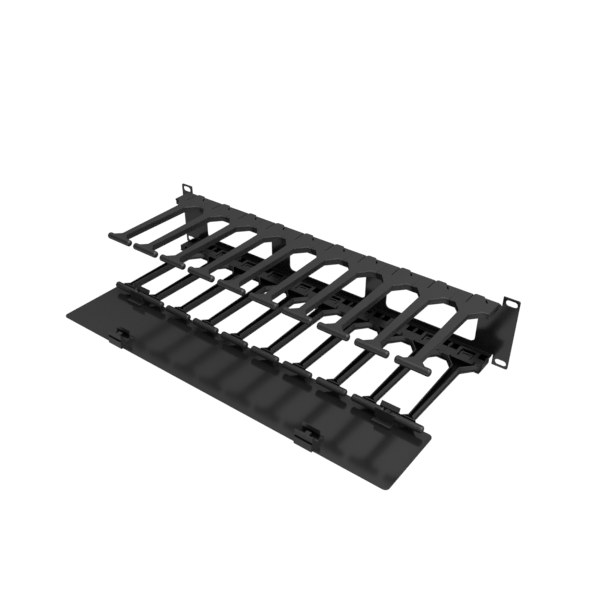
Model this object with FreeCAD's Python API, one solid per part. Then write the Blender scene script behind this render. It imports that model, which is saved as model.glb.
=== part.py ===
"""Horizontal cable manager for a 19 inch rack, two units high.

A folded steel panel bolts to the front of the rack. Ten moulded fingers snap onto its upper
flange and ten of the same moulding, turned over, onto its lower one. A flat cover swings on two
moulded clips about the bars of the lower fingers, and two more clips snap over the upper bars
when it is shut. The cover is drawn open and level, with its inside facing up.

Frame: millimetres, X to the right, Y to the rear, Z up. The origin is the middle of the front
face of the rack ears, which is the face that the rack screws clamp.
"""
import FreeCAD
import Part
import math
import os

# Rack sizes
RACK_WIDTH = 482.6
UNIT_HEIGHT = 44.45
UNITS = 2
UNIT_GAP = 0.8
SLOT_FROM_END = 8.75
SLOT_SPAN_Z = 76.2
SLOT_LENGTH = 13.0
SLOT_HEIGHT = 7.1

# Back panel
SHEET = 1.5
COMB_END_PLAY = 0.75
EAR_CORNER = 2.0
CHANNEL_HALF = 33.9
FLANGE_DEPTH = 17.0
BEND_INSIDE = 0.8
BEND_RELIEF = 1.2
WINDOW_HALF_HEIGHT = 25.0
POST_WIDTH = 28.9
END_POST_WIDTH = 23.4
WINDOW_CORNER = 6.0
WINDOW_COUNT = 3
CATCH_WIDTH = 38.0
CATCH_DEPTH = 6.0
CATCH_FROM_EDGE = 2.8

# Fingers
FINGERS = 10
PITCH = 44.45
FINGER_GAP = 0.15
OUTER_FACE = 39.0
FINGER_HEIGHT = 8.0
SKIN = 2.0
WALL = 1.3
LEDGE = 1.0
PAD_BACK = 6.3
PAD_LENGTH = 23.7
GAP_BACK = 32.0
GAP_FLAT_HALF = 6.0
ROOT_FRONT = 43.5
ROOT_HALF = 5.8
NECK_HALF = 3.9
GUSSET_FROM_BAR = 2.4
GUSSET_LENGTH = 6.0
GUSSET_HALF = 10.7
BAR_RADIUS = 4.0
BAR_LENGTH = 37.7
BAR_FORWARD = 146.6
HEAD_WALL = 0.5
GROOVE_WIDTH = 2.0
GROOVE_OFFSET = 0.9
GROOVE_DEPTH = 4.6
GROOVE_END = 2.6
FLANGE_PLAY = 0.2
TONGUE_HALF = 6.8
TONGUE_LEFT_SLIT = 0.7
TONGUE_RIGHT_SLIT = 1.8
TONGUE_END_SLIT = 2.0
TONGUE_BACK = 8.6
TONGUE_LENGTH = 15.0
HOOK_HALF = 4.0
HOOK_DEPTH = 3.4
HOOK_HEIGHT = 1.4
POCKET_HALF = 4.4
POCKET_FROM_SLIT = 2.6
POCKET_LENGTH = 6.2
POCKET_DEPTH = 0.9
NOTCH_INNER = 12.6
NOTCH_WIDTH = 6.0
NOTCH_DEPTH = 5.4
NOTCH_BACK = 8.4
SINK_LENGTH = 8.0
SINK_DEPTH = 0.7
SLOT_MARK_OFFSET = 10.2
SLOT_MARK_WIDTH = 1.4
SLOT_MARK_BACK = 10.4
SLOT_MARK_DEPTH = 3.4
SCORE_OFFSET = 6.6
SCORE_LENGTH = 19.0
SCORE_WIDTH = 0.5
SCORE_DEPTH = 0.9
REAR_TAB_LEFT = 6.2
REAR_TAB_RIGHT = 5.6
REAR_TAB_REACH = 2.7
REAR_TAB_THICK = 1.9
REAR_TAB_DROP = 0.3
REAR_TAB_CHAMFER = 1.4

# Cover
COVER_THICK = 1.5
COVER_BEYOND_COMB = 4.25
COVER_BEYOND_BAR = 8.25
COVER_CORNER = 5.0
COVER_DROP = 9.0

# Clips
CLIP_WIDTH = 21.2
CLIP_BORE_PLAY = 0.3
CLIP_NIP_PLAY = 0.1
CLIP_NIP_HEIGHT = 2.8
CLIP_WALL = 1.2
CLIP_JAW_TOP = 6.3
CLIP_TIP = 8.4
CLIP_TIP_THICK = 1.2
CLIP_BASE = 3.6
CLIP_BASE_REACH = 11.4
CLIP_GROOVE_DEPTH = 0.8
CLIP_WEB = 1.2
CLIP_WEB_TOP = -2.0
CLIP_EDGE_PLAY = 0.15
CLIP_LIP = 1.1
CLIP_LIP_REACH = 5.0
RIB_SIDE_PLAY = 0.6
RIB_TOP = 1.6
RIB_INNER = 1.8
TAB_WIDTH = 5.0
TAB_THICK = 1.6
TAB_PLAY = 0.2
TAB_BARB = 0.8
TAB_BARB_HEIGHT = 1.1
TAB_SPACING = 12.0
TAB_FROM_BAR = 8.4
HINGE_GAP_INDEX = 4
LATCH_GAP_INDEX = 3

# Sizes that follow from those above
PANEL_HEIGHT = UNITS * UNIT_HEIGHT - UNIT_GAP
HALF_WIDTH = RACK_WIDTH / 2
COMB_HALF = FINGERS * PITCH / 2
EAR_INNER = COMB_HALF + COMB_END_PLAY
SLOT_X = HALF_WIDTH - SLOT_FROM_END
WINDOW_ROW = 2 * (EAR_INNER - END_POST_WIDTH) - (WINDOW_COUNT - 1) * POST_WIDTH
WINDOW_WIDTH = WINDOW_ROW / WINDOW_COUNT
FINGER_HALF = (PITCH - FINGER_GAP) / 2
INNER_FACE = OUTER_FACE - FINGER_HEIGHT
SKIN_INSIDE = OUTER_FACE - SKIN
PAD_FRONT = PAD_BACK + PAD_LENGTH
GUSSET_END = BAR_FORWARD - GUSSET_FROM_BAR
GUSSET_START = GUSSET_END - GUSSET_LENGTH
FLANGE_OUTER = CHANNEL_HALF
FLANGE_INNER = CHANNEL_HALF - SHEET
CATCH_FRONT = FLANGE_DEPTH - CATCH_FROM_EDGE
BAR_HEIGHT = OUTER_FACE - BAR_RADIUS
BAR_SPACING = 2 * BAR_HEIGHT
COVER_WIDTH = 2 * (COMB_HALF + COVER_BEYOND_COMB)
COVER_DEPTH = BAR_SPACING + 2 * COVER_BEYOND_BAR
COVER_INSIDE = -BAR_HEIGHT - COVER_DROP
COVER_OUTSIDE = COVER_INSIDE - COVER_THICK
COVER_REAR = -BAR_FORWARD + COVER_BEYOND_BAR
HEAD_GAP = PITCH - BAR_LENGTH
CLIP_BORE = BAR_RADIUS + CLIP_BORE_PLAY
CLIP_NIP = BAR_RADIUS + CLIP_NIP_PLAY
HINGE_X = HINGE_GAP_INDEX * PITCH
LATCH_X = LATCH_GAP_INDEX * PITCH
LATCH_Y = -BAR_FORWARD - BAR_SPACING


def vec(x, y, z):
    return FreeCAD.Vector(x, y, z)


def box(x_range, y_range, z_range):
    """Block between two values on each axis."""
    size = [high - low for low, high in (x_range, y_range, z_range)]
    return Part.makeBox(*size, vec(x_range[0], y_range[0], z_range[0]))


def face_from(points):
    wire = Part.makePolygon(points + [points[0]])
    return Part.Face(wire)


def plan_prism(outline, z_low, z_high):
    """Prism on a closed outline of (x, y) points."""
    face = face_from([vec(x, y, z_low) for x, y in outline])
    return face.extrude(vec(0, 0, z_high - z_low))


def side_prism(outline, x_low, x_high):
    """Prism along X on a closed outline of (y, z) points."""
    face = face_from([vec(x_low, y, z) for y, z in outline])
    return face.extrude(vec(x_high - x_low, 0, 0))


def fuse_all(shapes):
    return shapes[0].multiFuse(shapes[1:]).removeSplitter()


def round_edges(shape, radius, chosen):
    """Fillet the straight edges whose middle point passes the test."""
    edges = [edge for edge in shape.Edges if chosen(edge)]
    return shape.makeFillet(radius, edges)


def runs_along(edge, axis):
    step = edge.Vertexes[-1].Point - edge.Vertexes[0].Point
    return step.Length > 0 and abs(step.dot(axis)) > 0.999 * step.Length


def inset_outline(outline, distances):
    """Move each side of a clockwise or anticlockwise outline inwards by its own distance."""
    count = len(outline)
    area = sum(outline[i][0] * outline[(i + 1) % count][1]
               - outline[(i + 1) % count][0] * outline[i][1] for i in range(count))
    turn = 1.0 if area > 0 else -1.0
    lines = []
    for i in range(count):
        x0, y0 = outline[i]
        x1, y1 = outline[(i + 1) % count]
        length = math.hypot(x1 - x0, y1 - y0)
        direction = ((x1 - x0) / length, (y1 - y0) / length)
        normal = (-turn * direction[1], turn * direction[0])
        start = (x0 + normal[0] * distances[i], y0 + normal[1] * distances[i])
        lines.append((start, direction))
    corners = []
    for i in range(count):
        (ax, ay), (au, av) = lines[i - 1]
        (bx, by), (bu, bv) = lines[i]
        cross = au * bv - av * bu
        along = ((bx - ax) * bv - (by - ay) * bu) / cross
        corners.append((ax + au * along, ay + av * along))
    return corners


# Back panel: one sheet with two flanges turned forward and a full-height ear at each end
def rounded_window(center_x, center_z, width, height, radius):
    """Cutter through the panel wall, rounded in the corners."""
    cutter = box((center_x - width / 2, center_x + width / 2), (-1, SHEET + 1),
                 (center_z - height / 2, center_z + height / 2))
    return round_edges(cutter, radius, lambda edge: runs_along(edge, vec(0, 1, 0)))


def channel_profile():
    """Section of the wall and its two flanges, with round bends."""
    outer = BEND_INSIDE + SHEET
    reach = -FLANGE_DEPTH
    half_turn = math.sqrt(0.5)
    segments = []

    def line(start, end):
        segments.append(Part.makeLine(vec(0, *start), vec(0, *end)))

    def bend(start, center, radius, end, sign):
        middle = (center[0] + radius * half_turn, center[1] + sign * radius * half_turn)
        segments.append(Part.Arc(vec(0, *start), vec(0, *middle), vec(0, *end)).toShape())

    center_y = SHEET - outer
    center_z = FLANGE_OUTER - outer
    line((reach, FLANGE_OUTER), (center_y, FLANGE_OUTER))
    bend((center_y, FLANGE_OUTER), (center_y, center_z), outer, (SHEET, center_z), 1)
    line((SHEET, center_z), (SHEET, -center_z))
    bend((SHEET, -center_z), (center_y, -center_z), outer, (center_y, -FLANGE_OUTER), -1)
    line((center_y, -FLANGE_OUTER), (reach, -FLANGE_OUTER))
    line((reach, -FLANGE_OUTER), (reach, -FLANGE_INNER))
    line((reach, -FLANGE_INNER), (center_y, -FLANGE_INNER))
    bend((center_y, -FLANGE_INNER), (center_y, -center_z), BEND_INSIDE, (0, -center_z), -1)
    line((0, -center_z), (0, center_z))
    bend((0, center_z), (center_y, center_z), BEND_INSIDE, (center_y, FLANGE_INNER), 1)
    line((center_y, FLANGE_INNER), (reach, FLANGE_INNER))
    line((reach, FLANGE_INNER), (reach, FLANGE_OUTER))
    return Part.Face(Part.Wire(segments))


def make_back_panel():
    flange_half = EAR_INNER - BEND_RELIEF
    channel = channel_profile()
    channel.translate(vec(-flange_half, 0, 0))
    channel = channel.extrude(vec(2 * flange_half, 0, 0))
    wall_half = FLANGE_OUTER - SHEET - BEND_INSIDE
    wall = box((-EAR_INNER, EAR_INNER), (0, SHEET), (-wall_half, wall_half))
    blank = box((-HALF_WIDTH, HALF_WIDTH), (0, SHEET), (-PANEL_HEIGHT / 2, PANEL_HEIGHT / 2))
    blank = round_edges(blank, EAR_CORNER, lambda edge: runs_along(edge, vec(0, 1, 0)))
    middle = box((-EAR_INNER, EAR_INNER), (-1, SHEET + 1), (-PANEL_HEIGHT, PANEL_HEIGHT))
    panel = fuse_all([channel, wall, blank.cut(middle)])
    cutters = []
    for index in range(WINDOW_COUNT):
        center = (index - (WINDOW_COUNT - 1) / 2) * (WINDOW_WIDTH + POST_WIDTH)
        cutters.append(rounded_window(center, 0, WINDOW_WIDTH, 2 * WINDOW_HALF_HEIGHT,
                                      WINDOW_CORNER))
    for side in (-1, 1):
        for level in (-1, 1):
            cutters.append(rounded_window(side * SLOT_X, level * SLOT_SPAN_Z / 2,
                                          SLOT_LENGTH, SLOT_HEIGHT, SLOT_HEIGHT / 2 - 0.01))
    for index in range(FINGERS):
        center = finger_x(index)
        for level in (-1, 1):
            z_range = sorted((level * (FLANGE_INNER - 1), level * (FLANGE_OUTER + 1)))
            cutters.append(box((center - CATCH_WIDTH / 2, center + CATCH_WIDTH / 2),
                               (-CATCH_FRONT, -CATCH_FRONT + CATCH_DEPTH), z_range))
    return panel.cut(cutters)


# Fingers: a pad that slides over the flange, an arm and a T-shaped head with a round bar
def finger_x(index):
    return (index - (FINGERS - 1) / 2) * PITCH


def finger_outline():
    """Plan of the outer skin, from the right rear corner round to the left one."""
    right = [
        (FINGER_HALF, -PAD_BACK),
        (FINGER_HALF, -GAP_BACK),
        (PITCH / 2 - GAP_FLAT_HALF, -GAP_BACK),
        (ROOT_HALF, -ROOT_FRONT),
        (NECK_HALF, -GUSSET_START),
        (GUSSET_HALF, -GUSSET_END),
        (GUSSET_HALF, -BAR_FORWARD),
    ]
    return right + [(-x, y) for x, y in reversed(right)]


def finger_rim(outline):
    """Upright wall under the skin, set back from its edge except where fingers meet.

    It is thickened at the front, where the bar is moulded on.
    """
    sides = len(outline)
    meeting = (0, sides - 2)
    front = sides // 2 - 1
    rear = sides - 1
    outside = []
    inside = []
    for side in range(sides):
        step = 0.0 if side in meeting + (front, rear) else LEDGE
        outside.append(step)
        inside.append(step if side == front else step + WALL)
    outer = plan_prism(inset_outline(outline, outside), INNER_FACE, SKIN_INSIDE)
    inner = plan_prism(inset_outline(outline, inside), INNER_FACE, SKIN_INSIDE)
    head_wall_back = -BAR_FORWARD + BAR_RADIUS + HEAD_WALL
    head_wall = box((-PITCH, PITCH), (-BAR_FORWARD, head_wall_back), (INNER_FACE, SKIN_INSIDE))
    return outer, outer.cut(inner.cut(head_wall))


def finger_pad(core):
    """Inner plate and cross wall that close round the flange, with a sprung tongue and its hook."""
    plate_top = FLANGE_INNER
    through = (INNER_FACE - 1, plate_top + 1)
    plate = box((-FINGER_HALF, FINGER_HALF), (-PAD_FRONT, -PAD_BACK), (INNER_FACE, plate_top))
    cross = box((-PITCH, PITCH), (-PAD_FRONT, -PAD_FRONT + WALL), (INNER_FACE, SKIN_INSIDE))
    slit_front = -TONGUE_BACK - TONGUE_LENGTH
    slit_end = -TONGUE_BACK - TONGUE_END_SLIT
    slit_left = -TONGUE_HALF - TONGUE_LEFT_SLIT
    slit_right = TONGUE_HALF + TONGUE_RIGHT_SLIT
    cuts = [
        box((slit_left, -TONGUE_HALF), (slit_front, -TONGUE_BACK), through),
        box((TONGUE_HALF, slit_right), (slit_front, -TONGUE_BACK), through),
        box((slit_left, slit_right), (slit_end, -TONGUE_BACK), through),
    ]
    pocket_back = slit_end - POCKET_FROM_SLIT
    cuts.append(box((-POCKET_HALF, POCKET_HALF), (pocket_back - POCKET_LENGTH, pocket_back),
                    (INNER_FACE - 1, INNER_FACE + POCKET_DEPTH)))
    for side in (-1, 1):
        sink = sorted((side * NOTCH_INNER, side * (FINGER_HALF + 1)))
        cuts.append(box(sink, (-NOTCH_BACK - SINK_LENGTH, -NOTCH_BACK),
                        (INNER_FACE - 1, INNER_FACE + SINK_DEPTH)))
        notch = sorted((side * NOTCH_INNER, side * (NOTCH_INNER + NOTCH_WIDTH)))
        cuts.append(box(notch, (-NOTCH_BACK - NOTCH_DEPTH, -NOTCH_BACK), through))
    hook_front = -CATCH_FRONT + FLANGE_PLAY
    hook = side_prism([
        (hook_front, plate_top),
        (hook_front, plate_top + HOOK_HEIGHT),
        (hook_front + HOOK_DEPTH * 0.4, plate_top + HOOK_HEIGHT),
        (hook_front + HOOK_DEPTH, plate_top),
    ], -HOOK_HALF, HOOK_HALF)
    return fuse_all([plate.cut(cuts), cross.common(core)]), hook


def finger_head():
    """Round bar, hollowed by a groove on its inner side."""
    half = BAR_LENGTH / 2
    bar = Part.makeCylinder(BAR_RADIUS, BAR_LENGTH, vec(-half, -BAR_FORWARD, BAR_HEIGHT),
                            vec(1, 0, 0))
    groove_y = -BAR_FORWARD + GROOVE_OFFSET
    groove = box((-half + GROOVE_END, half - GROOVE_END), (groove_y, groove_y + GROOVE_WIDTH),
                 (INNER_FACE - 1, INNER_FACE + GROOVE_DEPTH))
    return bar, groove


def make_finger():
    """Upper finger about X = 0, with its smooth face up."""
    outline = finger_outline()
    skin = plan_prism(outline, SKIN_INSIDE, OUTER_FACE)
    core, rim = finger_rim(outline)
    pad, hook = finger_pad(core)
    flange_slot = box((-PITCH, PITCH), (-FLANGE_DEPTH - FLANGE_PLAY, 0),
                      (FLANGE_INNER, FLANGE_OUTER + FLANGE_PLAY))
    bar, groove = finger_head()
    rear_tab = plan_prism([
        (-REAR_TAB_LEFT, -PAD_BACK - WALL),
        (-REAR_TAB_LEFT, -PAD_BACK + REAR_TAB_REACH - REAR_TAB_CHAMFER),
        (-REAR_TAB_LEFT + REAR_TAB_CHAMFER, -PAD_BACK + REAR_TAB_REACH),
        (REAR_TAB_RIGHT - REAR_TAB_CHAMFER, -PAD_BACK + REAR_TAB_REACH),
        (REAR_TAB_RIGHT, -PAD_BACK + REAR_TAB_REACH - REAR_TAB_CHAMFER),
        (REAR_TAB_RIGHT, -PAD_BACK - WALL),
    ], OUTER_FACE - REAR_TAB_DROP - REAR_TAB_THICK, OUTER_FACE - REAR_TAB_DROP)
    body = fuse_all([skin, rim, pad, rear_tab, bar])
    slot_mark = box((SLOT_MARK_OFFSET - SLOT_MARK_WIDTH / 2, SLOT_MARK_OFFSET + SLOT_MARK_WIDTH / 2),
                    (-SLOT_MARK_BACK - SLOT_MARK_DEPTH, -SLOT_MARK_BACK),
                    (SKIN_INSIDE - 1, OUTER_FACE + 1))
    score = box((-SCORE_OFFSET - SCORE_WIDTH, -SCORE_OFFSET),
                (-PAD_BACK - SCORE_LENGTH, 0), (OUTER_FACE - SCORE_DEPTH, OUTER_FACE + 1))
    body = body.cut([flange_slot, groove, slot_mark, score])
    return fuse_all([body, hook])


# Cover: a flat sheet with rounded corners and two holes for each clip
def clip_places():
    """Node name, middle of the clip, Y of its bore and the way that its outer side faces."""
    return [
        ("hinge_clip_left", -HINGE_X, -BAR_FORWARD, 1),
        ("hinge_clip_right", HINGE_X, -BAR_FORWARD, 1),
        ("latch_clip_left", -LATCH_X, LATCH_Y, -1),
        ("latch_clip_right", LATCH_X, LATCH_Y, -1),
    ]


def tab_block(place, side, extra, z_low, z_high):
    """Block in the place of one of a clip's two tabs, wider by the extra on each side."""
    _, center_x, bore_y, outward = place
    x = center_x + side * TAB_SPACING / 2
    y = bore_y - outward * TAB_FROM_BAR
    reach_x = TAB_WIDTH / 2 + extra
    reach_y = TAB_THICK / 2 + extra
    return box((x - reach_x, x + reach_x), (y - reach_y, y + reach_y), (z_low, z_high))


def make_cover():
    sheet = box((-COVER_WIDTH / 2, COVER_WIDTH / 2), (COVER_REAR - COVER_DEPTH, COVER_REAR),
                (COVER_OUTSIDE, COVER_INSIDE))
    sheet = round_edges(sheet, COVER_CORNER, lambda edge: runs_along(edge, vec(0, 0, 1)))
    slots = [tab_block(place, side, TAB_PLAY, COVER_OUTSIDE - 1, COVER_INSIDE + 1)
             for place in clip_places() for side in (-1, 1)]
    return sheet.cut(slots)


# Clips: a sprung channel round a finger bar, on a base that grips the edge of the cover
def clip_section():
    """Section in (outward, up) from the middle of the bore, from one nip round to the other."""
    outer = CLIP_BORE + CLIP_WALL
    base_low = -COVER_DROP
    base_top = base_low + CLIP_BASE
    edge = COVER_BEYOND_BAR + CLIP_EDGE_PLAY
    web = edge + CLIP_WEB
    under = base_low - COVER_THICK
    nip_low = math.sqrt(CLIP_BORE ** 2 - CLIP_NIP ** 2)
    inner_jaw = [
        (-CLIP_NIP, nip_low),
        (-CLIP_NIP, CLIP_NIP_HEIGHT),
        (-outer + 0.8, CLIP_JAW_TOP),
        (-outer + 0.3, CLIP_JAW_TOP),
        (-outer, CLIP_JAW_TOP - 0.8),
    ]
    base = [
        (-outer - 0.1, base_top),
        (-outer - 1.0, base_top),
        (-outer - 1.4, base_top - CLIP_GROOVE_DEPTH),
        (-CLIP_BASE_REACH + 1.7, base_top - CLIP_GROOVE_DEPTH),
        (-CLIP_BASE_REACH + 1.3, base_top),
        (-CLIP_BASE_REACH + 0.5, base_top),
        (-CLIP_BASE_REACH, base_top - 0.5),
        (-CLIP_BASE_REACH, base_low),
        (edge, base_low),
    ]
    lip = [
        (edge, under),
        (edge - CLIP_LIP_REACH, under),
        (edge - CLIP_LIP_REACH, under - CLIP_LIP * 0.6),
        (edge - CLIP_LIP_REACH + 0.6, under - CLIP_LIP),
        (web - 0.5, under - CLIP_LIP),
        (web, under - CLIP_LIP + 0.5),
        (web, CLIP_WEB_TOP - 0.3),
        (web - 0.3, CLIP_WEB_TOP),
        (edge, CLIP_WEB_TOP),
    ]
    outer_jaw = [
        (edge, base_top),
        (outer, base_top),
        (outer, -0.5),
        (CLIP_TIP, CLIP_JAW_TOP - 1.1),
        (CLIP_TIP - 0.3, CLIP_JAW_TOP - 0.1),
        (CLIP_TIP - CLIP_TIP_THICK, CLIP_JAW_TOP - 0.1),
        (CLIP_BORE + 0.3, CLIP_NIP_HEIGHT + 0.2),
        (CLIP_NIP, CLIP_NIP_HEIGHT - 0.2),
        (CLIP_NIP, nip_low),
    ]
    return inner_jaw + base + lip + outer_jaw


def make_clip(place):
    _, center_x, bore_y, outward = place
    points = [vec(center_x - CLIP_WIDTH / 2, bore_y + outward * u, -BAR_HEIGHT + w)
              for u, w in clip_section()]
    edges = [Part.makeLine(start, end) for start, end in zip(points[:-1], points[1:])]
    bottom = vec(center_x - CLIP_WIDTH / 2, bore_y, -BAR_HEIGHT - CLIP_BORE)
    edges.append(Part.Arc(points[-1], bottom, points[0]).toShape())
    section = Part.Face(Part.Wire(edges))
    body = section.extrude(vec(CLIP_WIDTH, 0, 0))
    rib_half = HEAD_GAP / 2 - RIB_SIDE_PLAY
    rib_y = sorted((bore_y - outward * RIB_INNER, bore_y + outward * (CLIP_BORE + CLIP_WALL / 2)))
    rib = box((center_x - rib_half, center_x + rib_half), rib_y,
              (-BAR_HEIGHT - CLIP_BORE - CLIP_WALL / 2, -BAR_HEIGHT + RIB_TOP))
    tabs = []
    for side in (-1, 1):
        tabs.append(tab_block(place, side, 0, COVER_OUTSIDE - TAB_BARB_HEIGHT, COVER_INSIDE + 0.5))
        barb = tab_block(place, side, 0, COVER_OUTSIDE - TAB_BARB_HEIGHT, COVER_OUTSIDE)
        barb.translate(vec(0, -outward * TAB_BARB, 0))
        tabs.append(barb)
    return fuse_all([body, rib] + tabs)


def build():
    nodes = {"back_panel": make_back_panel()}
    finger = make_finger()
    for index in range(FINGERS):
        upper = finger.copy()
        upper.translate(vec(finger_x(index), 0, 0))
        nodes["top_finger_%02d" % (index + 1)] = upper
        lower = finger.copy()
        lower.rotate(vec(0, 0, 0), vec(0, 1, 0), 180)
        lower.translate(vec(finger_x(index), 0, 0))
        nodes["bottom_finger_%02d" % (index + 1)] = lower
    nodes["cover_panel"] = make_cover()
    for place in clip_places():
        nodes[place[0]] = make_clip(place)
    return nodes


os.makedirs("parts", exist_ok=True)
for node_name, node_shape in build().items():
    node_shape.exportStep("parts/" + node_name + ".step")
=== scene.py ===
import bpy
import bmesh
import math
from mathutils import Matrix, Vector
from mathutils.bvhtree import BVHTree


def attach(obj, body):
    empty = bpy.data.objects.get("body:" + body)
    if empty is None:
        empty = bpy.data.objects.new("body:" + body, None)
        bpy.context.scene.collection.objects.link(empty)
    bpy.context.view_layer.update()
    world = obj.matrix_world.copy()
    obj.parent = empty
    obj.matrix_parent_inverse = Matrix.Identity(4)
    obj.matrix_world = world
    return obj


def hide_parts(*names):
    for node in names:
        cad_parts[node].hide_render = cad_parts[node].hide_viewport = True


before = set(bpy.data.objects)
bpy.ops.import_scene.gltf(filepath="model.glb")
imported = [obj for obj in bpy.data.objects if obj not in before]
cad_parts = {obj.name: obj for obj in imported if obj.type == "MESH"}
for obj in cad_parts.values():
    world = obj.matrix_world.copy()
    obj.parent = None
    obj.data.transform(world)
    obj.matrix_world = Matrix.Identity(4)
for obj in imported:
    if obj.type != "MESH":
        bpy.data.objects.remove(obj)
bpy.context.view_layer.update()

scene = bpy.context.scene
scene.view_settings.view_transform = "Standard"

# The view: the camera stands to the right of the rack front and well above it, and looks down
# on the cover that hangs open towards the viewer. Angles are in degrees, lengths in metres.
CAMERA_PLACE = (0.429550, -0.624149, 0.448620)
CAMERA_TURN = 36.96023
CAMERA_RISE = 33.32379
CAMERA_ROLL = 0.19727
camera_data = bpy.data.cameras.new("camera")
camera_data.sensor_width = 36.0
camera_data.lens = 43.1987
camera_data.clip_start = 0.01
camera_data.clip_end = 20.0
camera = bpy.data.objects.new("camera", camera_data)
camera.matrix_world = (Matrix.Translation(CAMERA_PLACE)
                       @ Matrix.Rotation(math.radians(CAMERA_TURN), 4, "Z")
                       @ Matrix.Rotation(math.radians(90 - CAMERA_RISE), 4, "X")
                       @ Matrix.Rotation(math.radians(CAMERA_ROLL), 4, "Z"))
scene.collection.objects.link(camera)
scene.camera = camera

# Back panel: sheet steel folded forward at the top and bottom, with a full-height ear at each
# end. It is punched before folding, deburred, and then powder coated satin black, which leaves
# a soft orange-peel ripple.
WELD_GAP = 0.000002
SLIVER = 0.000001
FLAT_ANGLE = 0.4
BLUNT_ANGLE = 35.0
SMOOTH_ANGLE = 34.0


def welded_copy(node):
    """Copy of a solid's mesh with its triangles joined into whole faces."""
    mesh = bmesh.new()
    mesh.from_mesh(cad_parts[node].data)
    bmesh.ops.remove_doubles(mesh, verts=mesh.verts, dist=WELD_GAP)
    bmesh.ops.dissolve_degenerate(mesh, edges=mesh.edges, dist=WELD_GAP)
    bmesh.ops.dissolve_limit(mesh, angle_limit=math.radians(FLAT_ANGLE), verts=mesh.verts,
                             edges=mesh.edges, delimit=set())
    return mesh


def round_outward_edges(mesh, radius, wanted=None, segments=2):
    """Round the outward corners sharper than the blunt angle, or those of them that are wanted."""
    chosen = []
    for edge in mesh.edges:
        outward = (len(edge.link_faces) == 2
                   and edge.calc_face_angle_signed(0.0) > math.radians(BLUNT_ANGLE))
        if outward and (wanted is None or wanted(edge)):
            chosen.append(edge)
    bmesh.ops.bevel(mesh, geom=chosen, offset=radius, offset_type="OFFSET", segments=segments,
                    profile=0.5, affect="EDGES", clamp_overlap=wanted is None, loop_slide=False)
    bmesh.ops.remove_doubles(mesh, verts=mesh.verts, dist=WELD_GAP)
    bmesh.ops.dissolve_degenerate(mesh, edges=mesh.edges, dist=SLIVER)


def finished(mesh, name, material):
    """Object from a worked mesh, smooth across its rounded edges and true on its flats."""
    data = bpy.data.meshes.new(name)
    mesh.to_mesh(data)
    mesh.free()
    data.materials.append(material)
    data.shade_smooth()
    data.set_sharp_from_angle(angle=math.radians(SMOOTH_ANGLE))
    piece = bpy.data.objects.new(name, data)
    scene.collection.objects.link(piece)
    flats = piece.modifiers.new("flats", "WEIGHTED_NORMAL")
    flats.mode = "FACE_AREA"
    flats.weight = 100
    flats.keep_sharp = True
    view = bpy.context.evaluated_depsgraph_get()
    piece.data = bpy.data.meshes.new_from_object(piece.evaluated_get(view))
    piece.data.name = name
    piece.modifiers.remove(piece.modifiers["flats"])
    return piece


# A noise keeps mostly between these two levels, and a colour mix has its sockets at these places.
NOISE_LOW = 0.3
NOISE_HIGH = 0.7
MIX_FACTOR = 0
MIX_FIRST = 6
MIX_SECOND = 7
MIX_RESULT = 2


def shader_tree(material):
    """Fresh tree of a material, its Principled surface, and the place on the piece."""
    material.use_nodes = True
    tree = material.node_tree
    tree.nodes.clear()
    output = tree.nodes.new("ShaderNodeOutputMaterial")
    surface = tree.nodes.new("ShaderNodeBsdfPrincipled")
    tree.links.new(surface.outputs["BSDF"], output.inputs["Surface"])
    place = tree.nodes.new("ShaderNodeTexCoord")
    return tree, surface, place.outputs["Object"]


def noise(tree, where, scale, detail):
    texture = tree.nodes.new("ShaderNodeTexNoise")
    texture.inputs["Scale"].default_value = scale
    texture.inputs["Detail"].default_value = detail
    tree.links.new(where, texture.inputs["Vector"])
    return texture.outputs["Fac"]


def between(tree, factor, low, high):
    """Value that runs from low to high while the factor crosses the middle of its range."""
    spread = tree.nodes.new("ShaderNodeMapRange")
    spread.inputs["From Min"].default_value = NOISE_LOW
    spread.inputs["From Max"].default_value = NOISE_HIGH
    spread.inputs["To Min"].default_value = low
    spread.inputs["To Max"].default_value = high
    tree.links.new(factor, spread.inputs["Value"])
    return spread.outputs["Result"]


def blend_colours(tree, factor, first, second):
    """Node that mixes two colours by the factor."""
    mix = tree.nodes.new("ShaderNodeMix")
    mix.data_type = "RGBA"
    mix.inputs[MIX_FIRST].default_value = first
    mix.inputs[MIX_SECOND].default_value = second
    tree.links.new(factor, mix.inputs[MIX_FACTOR])
    return mix


def raise_grain(tree, surface, height, strength, distance):
    bump = tree.nodes.new("ShaderNodeBump")
    bump.inputs["Strength"].default_value = strength
    bump.inputs["Distance"].default_value = distance
    tree.links.new(height, bump.inputs["Height"])
    tree.links.new(bump.outputs["Normal"], surface.inputs["Normal"])


COAT_DARK = (0.0085, 0.0086, 0.0088, 1.0)
COAT_LIGHT = (0.0115, 0.0116, 0.0118, 1.0)


def satin_coat(name, sheen, gloss, tone_scale, gloss_scale, ripple_scale, strength, distance):
    """Satin black coat whose tone and gloss drift a little over its soft ripple."""
    coat = bpy.data.materials.new(name)
    tree, surface, where = shader_tree(coat)
    tone = noise(tree, where, tone_scale, detail=4.0)
    shade = blend_colours(tree, tone, COAT_DARK, COAT_LIGHT)
    tree.links.new(shade.outputs[MIX_RESULT], surface.inputs["Base Color"])
    drift = noise(tree, where, gloss_scale, detail=3.0)
    tree.links.new(between(tree, drift, *gloss), surface.inputs["Roughness"])
    surface.inputs["Specular IOR Level"].default_value = sheen
    ripple = noise(tree, where, ripple_scale, detail=2.0)
    raise_grain(tree, surface, ripple, strength, distance)
    return coat


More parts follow.
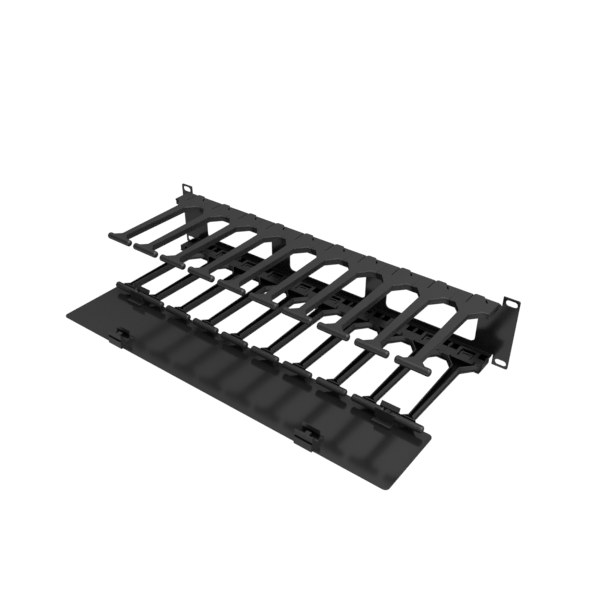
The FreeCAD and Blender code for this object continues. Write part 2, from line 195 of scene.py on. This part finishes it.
PANEL_ROUNDING = 0.0002
panel_coat = satin_coat("black_powder_coat", sheen=0.34, gloss=(0.15, 0.19), tone_scale=22.0,
                        gloss_scale=45.0, ripple_scale=900.0, strength=0.10, distance=0.00006)
panel_mesh = welded_copy("back_panel")
round_outward_edges(panel_mesh, PANEL_ROUNDING)
back_panel = finished(panel_mesh, "folded_back_panel", panel_coat)
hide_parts("back_panel")
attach(back_panel, "rack_panel")

# Fingers: one moulding used twenty times, ten on the upper flange and ten turned over on the
# lower one. Each has a pad that slides over the flange, a ribbed arm and a T head with a bar. The
# plastic is black, with the fine grain of the mould, a little smoother where the melt entered.
# Shade is painted into it: its colour and sheen darken on faces that are closed in.
PLASTIC_DARK = (0.0100, 0.0101, 0.0103, 1.0)
PLASTIC_LIGHT = (0.0140, 0.0141, 0.0143, 1.0)
PLASTIC_PAINTED_SHADE = (0.0030, 0.0030, 0.0031, 1.0)
PLASTIC_SHEEN = 0.5
PAINTED_SHADE_SHEEN = 0.05
PAINTED_SHADE_STARTS = 0.16
PAINTED_SHADE_FULL = 0.42
plastic = bpy.data.materials.new("black_moulded_plastic")
tree, surface, where = shader_tree(plastic)
# Painted shade: the colour darkens and the sheen drops on closed-in faces, where shade would fall.
painted_shade_attribute = tree.nodes.new("ShaderNodeAttribute")
painted_shade_attribute.attribute_name = "painted_shade_closed_in"
painted_shade_depth = tree.nodes.new("ShaderNodeMapRange")
painted_shade_depth.inputs["From Min"].default_value = PAINTED_SHADE_STARTS
painted_shade_depth.inputs["From Max"].default_value = PAINTED_SHADE_FULL
tree.links.new(painted_shade_attribute.outputs["Fac"], painted_shade_depth.inputs["Value"])
tone = noise(tree, where, scale=38.0, detail=3.0)
shade = blend_colours(tree, tone, PLASTIC_DARK, PLASTIC_LIGHT)
painted_shade_colour = blend_colours(tree, painted_shade_depth.outputs["Result"], PLASTIC_DARK, PLASTIC_PAINTED_SHADE)
tree.links.new(shade.outputs[MIX_RESULT], painted_shade_colour.inputs[MIX_FIRST])
tree.links.new(painted_shade_colour.outputs[MIX_RESULT], surface.inputs["Base Color"])
sheen = between(tree, painted_shade_depth.outputs["Result"], PLASTIC_SHEEN, PAINTED_SHADE_SHEEN)
tree.links.new(sheen, surface.inputs["Specular IOR Level"])
flow = noise(tree, where, scale=60.0, detail=4.0)
tree.links.new(between(tree, flow, low=0.34, high=0.42), surface.inputs["Roughness"])
grain = noise(tree, where, scale=2600.0, detail=2.0)
raise_grain(tree, surface, grain, strength=0.35, distance=0.00006)

HOLLOW_RAYS = 60
GOLDEN_TURN = 2.399963
GRAZING = 0.05
RAY_START = 0.00001


def mark_painted_shade(mesh, within):
    """Write on each face how closed in it is, from fixed rays cast over it, for the shade painted
    into its colour and sheen.
    """
    closeness = mesh.faces.layers.float.new("painted_shade_closed_in")
    hull = BVHTree.FromBMesh(mesh)
    for face in mesh.faces:
        start = face.calc_center_median_weighted() + face.normal * RAY_START
        open_share = 0.0
        whole = 0.0
        for ray in range(HOLLOW_RAYS):
            rise = 1 - (2 * ray + 1) / HOLLOW_RAYS
            reach = math.sqrt(1 - rise * rise)
            turn = ray * GOLDEN_TURN
            towards = Vector((reach * math.cos(turn), reach * math.sin(turn), rise))
            weight = towards.dot(face.normal)
            if weight > GRAZING:
                whole += weight
                if hull.ray_cast(start, towards, within)[0] is None:
                    open_share += weight
        face[closeness] = 1 - open_share / whole


# The finger is worked on at the middle of its row: its outer and inner faces, its bar, and where
# the bar's ends begin to round.
PITCH = 0.04445
TOP_FACE = 0.039
SKIN_INSIDE = 0.037
INNER_FACE = 0.031
BAR_RADIUS = 0.004
BAR_HALF = 0.01885
BAR_Y = -0.1466
BAR_Z = (TOP_FACE + INNER_FACE) / 2
BAR_BACK = BAR_Y + BAR_RADIUS
BAR_ROOT = 0.0108
END_START = 0.0163
END_STEPS = (0.0, 0.3, 0.52, 0.7, 0.84, 0.94)
END_FULLNESS = 2.2
TIP_SHARE = 0.28
CUT_SNAP = 0.0000001
TOUCH = 0.00001


def cut_faces(mesh, faces, point, direction):
    """Cut these faces, and no others, along a plane."""
    edges = dict.fromkeys(edge for face in faces for edge in face.edges)
    verts = dict.fromkeys(vert for face in faces for vert in face.verts)
    bmesh.ops.bisect_plane(mesh, geom=[*verts, *edges, *faces], dist=CUT_SNAP,
                           plane_co=point, plane_no=direction)


def round_bar_ends(mesh):
    """Turn the square ends of the bar into blunt domes."""
    length = BAR_HALF - END_START
    for side in (-1, 1):
        for step in END_STEPS:
            faces = [face for face in mesh.faces
                     if any(side * vert.co.x > BAR_ROOT for vert in face.verts)
                     and all(vert.co.y < BAR_BACK + TOUCH for vert in face.verts)]
            cut_faces(mesh, faces, (side * (END_START + length * step), 0, 0), (1, 0, 0))
    for vert in mesh.verts:
        past = (abs(vert.co.x) - END_START) / length
        if past > 0 and vert.co.y < BAR_BACK + TOUCH:
            left = max(0.0, 1 - past ** END_FULLNESS)
            share = max(TIP_SHARE, left ** (1 / END_FULLNESS))
            vert.co.y = BAR_Y + (vert.co.y - BAR_Y) * share
            vert.co.z = BAR_Z + (vert.co.z - BAR_Z) * share


# Marks of the pad: the places of their lines, how near to a line a corner lies that moves with
# it, and how far it moves. Corners of the outer skin lie over SKIN_BELOW, and those of the inner
# plate under PLATE_ABOVE.
LINE_REACH = 0.0001
SKIN_BELOW = SKIN_INSIDE - LINE_REACH
PLATE_ABOVE = 0.0345
SCORE_X = -0.00685
SCORE_REACH = 0.0003
SCORE_ENDS = (-0.0254, -0.0062)
SCORE_HALF = 0.00045
JOINT_REACH = 0.0002
JOINT_BACK = -0.0245
JOINT_TAPER = 0.0005
JOINT_GAP = 0.00025
MARK_X = 0.0102
MARK_Y = -0.0121
MARK_HALF_X = 0.0008
MARK_HALF_Y = 0.0018
MARK_SPREAD = 1.45
MARK_LEAN = 0.6
TONGUE_HALF = 0.0069
TONGUE_END = -0.0106
TONGUE_END_SHIFT = 0.0032
POCKET_HALF = 0.0045
POCKET_BACK = -0.0132
POCKET_BACK_SHIFT = 0.0026
SIDE_START = 0.0125
SINK_ENDS = (-0.0173, -0.0080)
SINK_FLOOR = 0.0317
SINK_DEEPER = 0.0007
NOTCH_BACK = -0.0084
NOTCH_BACK_OPEN = -0.0066
PLATE_FRONT = -0.0335
SEAM_LINES = (-0.0299, -0.02985, -0.02893, -0.02888)
SEAM_SNAP = 0.000001
SEAM_DEPTH = 0.003


def open_skin_marks(mesh):
    """Widen the score line, the joint to the next finger and the slot mark of the outer skin."""
    cut_faces(mesh, list(mesh.faces), (0, JOINT_BACK, 0), (0, 1, 0))
    for vert in mesh.verts:
        place = vert.co
        on_skin = place.z > SKIN_BELOW
        beside_score = place.x - SCORE_X
        if on_skin and abs(beside_score) < SCORE_REACH and SCORE_ENDS[0] < place.y < SCORE_ENDS[1]:
            place.x = SCORE_X + math.copysign(SCORE_HALF, beside_score)
        at_joint = abs(place.x) > PITCH / 2 - JOINT_REACH and place.y < JOINT_BACK - JOINT_TAPER
        if at_joint and place.z > INNER_FACE + TOUCH:
            place.x -= math.copysign(JOINT_GAP, place.x)
        aside = place.x - MARK_X
        along = place.y - MARK_Y
        if on_skin and abs(aside) < MARK_HALF_X and abs(along) < MARK_HALF_Y:
            place.y = MARK_Y + along * MARK_SPREAD
            place.x = MARK_X + aside * MARK_SPREAD - along * MARK_SPREAD * MARK_LEAN


def open_plate_marks(mesh):
    """Shift the tongue's end, the pocket's back, the sinks and the notches of the inner plate."""
    for vert in mesh.verts:
        place = vert.co
        aside = abs(place.x)
        if place.z > PLATE_ABOVE:
            continue
        if aside < TONGUE_HALF and abs(place.y - TONGUE_END) < LINE_REACH:
            place.y -= TONGUE_END_SHIFT
        if aside < POCKET_HALF and abs(place.y - POCKET_BACK) < LINE_REACH:
            place.y -= POCKET_BACK_SHIFT
        at_sink = SINK_ENDS[0] < place.y < SINK_ENDS[1] and abs(place.z - SINK_FLOOR) < TOUCH
        if aside > SIDE_START and at_sink:
            place.z += SINK_DEEPER
        if aside > SIDE_START and abs(place.y - NOTCH_BACK) < TOUCH:
            place.y = NOTCH_BACK_OPEN


def open_plate_seam(mesh):
    """Sink a narrow seam across each side of the inner plate, where it meets its rim."""
    cuts = [((0, line, 0), (0, 1, 0)) for line in SEAM_LINES]
    cuts += [((side * SIDE_START, 0, 0), (1, 0, 0)) for side in (-1, 1)]
    for point, direction in cuts:
        plate = [face for face in mesh.faces
                 if all(abs(vert.co.z - INNER_FACE) < TOUCH and vert.co.y > PLATE_FRONT
                        for vert in face.verts)]
        cut_faces(mesh, plate, point, direction)
    for vert in mesh.verts:
        in_seam = SEAM_LINES[1] - SEAM_SNAP < vert.co.y < SEAM_LINES[2] + SEAM_SNAP
        on_plate = abs(vert.co.z - INNER_FACE) < TOUCH
        if in_seam and on_plate and abs(vert.co.x) > SIDE_START + TOUCH:
            vert.co.z += SEAM_DEPTH


MARK_FLOOR = 0.0374
MARK_REACH_X = 0.0015
MARK_REACH_Y = 0.0030


def close_slot_mark(mesh):
    """Turn the slot mark into a blind recess, so that no light shows through the pad."""
    walls = [face for face in mesh.faces
             if all(abs(vert.co.x - MARK_X) < MARK_REACH_X and abs(vert.co.y - MARK_Y) < MARK_REACH_Y
                    and vert.co.z > SKIN_BELOW for vert in face.verts)]
    wall_edges = [edge for edge in mesh.edges if any(face in walls for face in edge.link_faces)]
    inner_ring, outer_ring = [
        [edge for edge in wall_edges if all(abs(vert.co.z - level) < TOUCH for vert in edge.verts)]
        for level in (SKIN_INSIDE, TOP_FACE)]
    bmesh.ops.delete(mesh, geom=walls, context="FACES")
    bmesh.ops.contextual_create(mesh, geom=inner_ring)
    sunk = bmesh.ops.extrude_edge_only(mesh, edges=outer_ring)["geom"]
    floor_verts = [item for item in sunk if isinstance(item, bmesh.types.BMVert)]
    for vert in floor_verts:
        vert.co.z = MARK_FLOOR
    floor_edges = [item for item in sunk if isinstance(item, bmesh.types.BMEdge)
                   and all(vert in floor_verts for vert in item.verts)]
    bmesh.ops.contextual_create(mesh, geom=floor_edges)
    bmesh.ops.recalc_face_normals(mesh, faces=mesh.faces)


# Which edges are rounded: those in front of the marks, not along the arm, at a true wall, and
# clear of the joint.
MARKS_FRONT = -0.0260
ARM_SLANT = 0.1
TRUE_WALL = 0.0015
JOINT_KEPT = 0.0006
SHORT_EDGE = 0.0005


def on_outline(edge):
    """Edge of the smooth outer face that runs round the moulding, not at its joint or marks."""
    ends = [vert.co for vert in edge.verts]
    level = all(abs(end.z - TOP_FACE) < TOUCH for end in ends)
    joint = all(abs(end.x) > PITCH / 2 - JOINT_REACH for end in ends)
    marks = all(end.y > MARKS_FRONT for end in ends)
    along_arm = abs(ends[0].x - ends[1].x) < ARM_SLANT * abs(ends[0].y - ends[1].y)
    heights = [[vert.co.z for vert in face.verts] for face in edge.link_faces]
    true_wall = max(max(levels) - min(levels) for levels in heights) > TRUE_WALL
    return level and true_wall and not joint and not marks and not along_arm


def off_the_domes(edge):
    """Edge that isn't at the joint, nor part of a bar end, nor shorter than its rounding."""
    ends = [vert.co for vert in edge.verts]
    dome = any(abs(end.x) > END_START - TOUCH and end.y < BAR_BACK + TOUCH for end in ends)
    joint = all(abs(end.x) > PITCH / 2 - JOINT_KEPT for end in ends)
    return not dome and not joint and edge.calc_length() > SHORT_EDGE


OUTLINE_ROUNDING = 0.00095
MOULDED_ROUNDING = 0.00022
FINGER_SHADE_REACH = 0.014
finger_mesh = welded_copy("top_finger_06")
bmesh.ops.translate(finger_mesh, verts=finger_mesh.verts, vec=(-PITCH / 2, 0, 0))
round_bar_ends(finger_mesh)
open_skin_marks(finger_mesh)
open_plate_marks(finger_mesh)
open_plate_seam(finger_mesh)
close_slot_mark(finger_mesh)
round_outward_edges(finger_mesh, OUTLINE_ROUNDING, on_outline, segments=3)
round_outward_edges(finger_mesh, MOULDED_ROUNDING, off_the_domes)
# Painted shade: how closed in each face is sets how much darker its colour and sheen are painted.
mark_painted_shade(finger_mesh, FINGER_SHADE_REACH)
finger = finished(finger_mesh, "finger", plastic)


def comb_row(name, single, count, pitch, material):
    """Row of copies of one moulding, spaced evenly about the middle."""
    tree = bpy.data.node_groups.new(name, "GeometryNodeTree")
    tree.interface.new_socket("Geometry", in_out="INPUT", socket_type="NodeSocketGeometry")
    count_in = tree.interface.new_socket("Count", in_out="INPUT", socket_type="NodeSocketInt")
    pitch_in = tree.interface.new_socket("Pitch", in_out="INPUT", socket_type="NodeSocketFloat")
    material_in = tree.interface.new_socket("Material", in_out="INPUT",
                                            socket_type="NodeSocketMaterial")
    tree.interface.new_socket("Geometry", in_out="OUTPUT", socket_type="NodeSocketGeometry")
    given = tree.nodes.new("NodeGroupInput")
    result = tree.nodes.new("NodeGroupOutput")
    gaps = tree.nodes.new("ShaderNodeMath")
    gaps.operation = "SUBTRACT"
    gaps.inputs[1].default_value = 1.0
    length = tree.nodes.new("ShaderNodeMath")
    length.operation = "MULTIPLY"
    start = tree.nodes.new("ShaderNodeMath")
    start.operation = "MULTIPLY"
    start.inputs[1].default_value = -0.5
    first = tree.nodes.new("ShaderNodeCombineXYZ")
    step = tree.nodes.new("ShaderNodeCombineXYZ")
    line = tree.nodes.new("GeometryNodeMeshLine")
    line.mode = "OFFSET"
    copies = tree.nodes.new("GeometryNodeInstanceOnPoints")
    real = tree.nodes.new("GeometryNodeRealizeInstances")
    dress = tree.nodes.new("GeometryNodeSetMaterial")
    link = tree.links.new
    link(given.outputs["Count"], gaps.inputs[0])
    link(gaps.outputs[0], length.inputs[0])
    link(given.outputs["Pitch"], length.inputs[1])
    link(length.outputs[0], start.inputs[0])
    link(start.outputs[0], first.inputs["X"])
    link(given.outputs["Pitch"], step.inputs["X"])
    link(given.outputs["Count"], line.inputs["Count"])
    link(first.outputs[0], line.inputs["Start Location"])
    link(step.outputs[0], line.inputs["Offset"])
    link(line.outputs["Mesh"], copies.inputs["Points"])
    link(given.outputs["Geometry"], copies.inputs["Instance"])
    link(copies.outputs["Instances"], real.inputs["Geometry"])
    link(real.outputs["Geometry"], dress.inputs["Geometry"])
    link(given.outputs["Material"], dress.inputs["Material"])
    link(dress.outputs["Geometry"], result.inputs["Geometry"])
    modifier = single.modifiers.new(name, "NODES")
    modifier.node_group = tree
    modifier[count_in.identifier] = count
    modifier[pitch_in.identifier] = pitch
    modifier[material_in.identifier] = material
    view = bpy.context.evaluated_depsgraph_get()
    data = bpy.data.meshes.new_from_object(single.evaluated_get(view))
    single.modifiers.remove(modifier)
    data.name = name
    row = bpy.data.objects.new(name, data)
    scene.collection.objects.link(row)
    return row


FINGERS_IN_ROW = 10
upper_row = comb_row("upper_finger_row", finger, FINGERS_IN_ROW, PITCH, plastic)
finger.data.transform(Matrix.Rotation(math.pi, 4, "Y"))
lower_row = comb_row("lower_finger_row", finger, FINGERS_IN_ROW, PITCH, plastic)
bpy.data.objects.remove(finger)
for row, nodes in ((upper_row, "top_finger_%02d"), (lower_row, "bottom_finger_%02d")):
    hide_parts(*[nodes % number for number in range(1, FINGERS_IN_ROW + 1)])
    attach(row, "rack_panel")

# Cover: a flat steel sheet with round corners, slotted for the tabs of its four clips. Its coat
# is smoother than the panel's, and mirrors the fingers above it softly.
COVER_ROUNDING = 0.00025
cover_coat = satin_coat("black_cover_coat", sheen=0.5, gloss=(0.125, 0.155), tone_scale=18.0,
                        gloss_scale=30.0, ripple_scale=700.0, strength=0.05, distance=0.00003)
cover_mesh = welded_copy("cover_panel")
round_outward_edges(cover_mesh, COVER_ROUNDING)
cover = finished(cover_mesh, "cover_sheet", cover_coat)
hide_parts("cover_panel")
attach(cover, "cover")

# Clips: sprung channels of the fingers' plastic that close round the bars, hooked through the
# cover. The outer jaw of a latch clip stands upright in front, with a narrow gap to the lip that
# holds the sheet.
BAR_SPAN = 0.070
LATCH_Y = BAR_Y - BAR_SPAN
JAW_FRONT = 0.0055
JAW_UPRIGHT = 0.0081
CLIP_SHADE_REACH = 0.005
for node in ("hinge_clip_left", "hinge_clip_right", "latch_clip_left", "latch_clip_right"):
    clip_mesh = welded_copy(node)
    if node.startswith("latch"):
        for vert in clip_mesh.verts:
            if abs(LATCH_Y - vert.co.y - JAW_FRONT) < TOUCH:
                vert.co.y = LATCH_Y - JAW_UPRIGHT
    round_outward_edges(clip_mesh, MOULDED_ROUNDING)
    # Painted shade, as on the fingers: the clip's closed-in faces are painted darker and duller.
    mark_painted_shade(clip_mesh, CLIP_SHADE_REACH)
    clip = finished(clip_mesh, node + "_moulding", plastic)
    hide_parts(node)
    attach(clip, "cover")

# Surround: the studio round the part, white to the camera and made of soft lights for the part.
# Each light has the direction it stands in, the cosine at which its glow begins, and its level:
# first those overhead, then those at the sides and back, and last the floor's glow from below.
BASE_LEVEL = 0.02
WIDE = 0.78
SOFT_LIGHTS = (
    ((0.0, 0.0, 1.0), 0.97, 9.0),
    ((0.25, 0.0, 0.97), 0.965, 12.0),
    ((0.0, -0.25, 0.97), 0.965, 4.0),
    ((0.0, 0.50, 0.87), WIDE, 0.35),
    ((-0.48, 0.15, 0.87), WIDE, 0.6),
    ((-0.50, -0.34, 0.80), 0.94, 0.6),
    ((0.85, 0.0, 0.53), WIDE, 3.4),
    ((0.60, 0.60, 0.53), WIDE, 1.6),
    ((0.0, 0.85, 0.53), WIDE, 0.27),
    ((0.0, -0.85, 0.53), WIDE, 0.9),
    ((-0.60, 0.60, 0.53), WIDE, 0.13),
    ((0.60, -0.60, 0.53), WIDE, 0.2),
    ((-0.38, 0.92, 0.09), WIDE, 0.15),
    ((0.64, 0.64, -0.42), WIDE, 0.3),
    ((-0.64, -0.64, -0.42), WIDE, 0.6),
    ((0.0, -0.91, -0.42), WIDE, 1.1),
    ((0.64, -0.64, -0.42), WIDE, 1.05),
    ((0.35, 0.35, -0.87), WIDE, 0.1),
)
WHITE = (1.0, 1.0, 1.0, 1.0)
world = bpy.data.worlds.new("studio_surround")
scene.world = world
world.use_nodes = True
tree = world.node_tree
tree.nodes.clear()
place = tree.nodes.new("ShaderNodeTexCoord")
total = tree.nodes.new("ShaderNodeValue").outputs[0]
total.default_value = BASE_LEVEL
for towards, edge, level in SOFT_LIGHTS:
    facing = tree.nodes.new("ShaderNodeVectorMath")
    facing.operation = "DOT_PRODUCT"
    facing.inputs[1].default_value = Vector(towards).normalized()
    glow = tree.nodes.new("ShaderNodeMapRange")
    glow.interpolation_type = "SMOOTHSTEP"
    glow.inputs["From Min"].default_value = edge
    glow.inputs["From Max"].default_value = 1.0
    glow.inputs["To Min"].default_value = 0.0
    glow.inputs["To Max"].default_value = level
    added = tree.nodes.new("ShaderNodeMath")
    added.operation = "ADD"
    tree.links.new(place.outputs["Generated"], facing.inputs[0])
    tree.links.new(facing.outputs["Value"], glow.inputs["Value"])
    tree.links.new(total, added.inputs[0])
    tree.links.new(glow.outputs["Result"], added.inputs[1])
    total = added.outputs[0]
lit = tree.nodes.new("ShaderNodeBackground")
lit.inputs["Color"].default_value = WHITE
seen = tree.nodes.new("ShaderNodeBackground")
seen.inputs["Color"].default_value = WHITE
seen.inputs["Strength"].default_value = 1.0
path = tree.nodes.new("ShaderNodeLightPath")
choice = tree.nodes.new("ShaderNodeMixShader")
world_output = tree.nodes.new("ShaderNodeOutputWorld")
tree.links.new(total, lit.inputs["Strength"])
tree.links.new(path.outputs["Is Camera Ray"], choice.inputs["Fac"])
tree.links.new(lit.outputs["Background"], choice.inputs[1])
tree.links.new(seen.outputs["Background"], choice.inputs[2])
tree.links.new(choice.outputs["Shader"], world_output.inputs["Surface"])

# Floor: a wide white sheet well below the part, which hangs as if on its rack. The camera sees
# it as plain white, and the part neither mirrors it nor is lit by it.
FLOOR_Z = -0.45
FLOOR_HALF = 8.0
FLOOR_SHADE = (0.62, 0.62, 0.62, 1.0)
FLOOR_ROUGHNESS = 0.9
SEEN_SHARE = 0.93
SEEN_LEVEL = 1.04
floor_paint = bpy.data.materials.new("white_floor")
tree, surface, where = shader_tree(floor_paint)
surface.inputs["Base Color"].default_value = FLOOR_SHADE
surface.inputs["Roughness"].default_value = FLOOR_ROUGHNESS
glow = tree.nodes.new("ShaderNodeEmission")
glow.inputs["Strength"].default_value = SEEN_LEVEL
path = tree.nodes.new("ShaderNodeLightPath")
share = tree.nodes.new("ShaderNodeMath")
share.operation = "MULTIPLY"
share.inputs[1].default_value = SEEN_SHARE
choice = tree.nodes.new("ShaderNodeMixShader")
output = next(node for node in tree.nodes if node.type == "OUTPUT_MATERIAL")
tree.links.new(path.outputs["Is Camera Ray"], share.inputs[0])
tree.links.new(share.outputs[0], choice.inputs["Fac"])
tree.links.new(surface.outputs["BSDF"], choice.inputs[1])
tree.links.new(glow.outputs["Emission"], choice.inputs[2])
tree.links.new(choice.outputs["Shader"], output.inputs["Surface"])
floor_mesh = bmesh.new()
bmesh.ops.create_grid(floor_mesh, x_segments=1, y_segments=1, size=FLOOR_HALF)
bmesh.ops.translate(floor_mesh, verts=floor_mesh.verts, vec=(0, 0, FLOOR_Z))
floor_data = bpy.data.meshes.new("floor")
floor_mesh.to_mesh(floor_data)
floor_mesh.free()
floor_data.materials.append(floor_paint)
floor = bpy.data.objects.new("floor", floor_data)
scene.collection.objects.link(floor)
floor.visible_diffuse = False
floor.visible_glossy = False
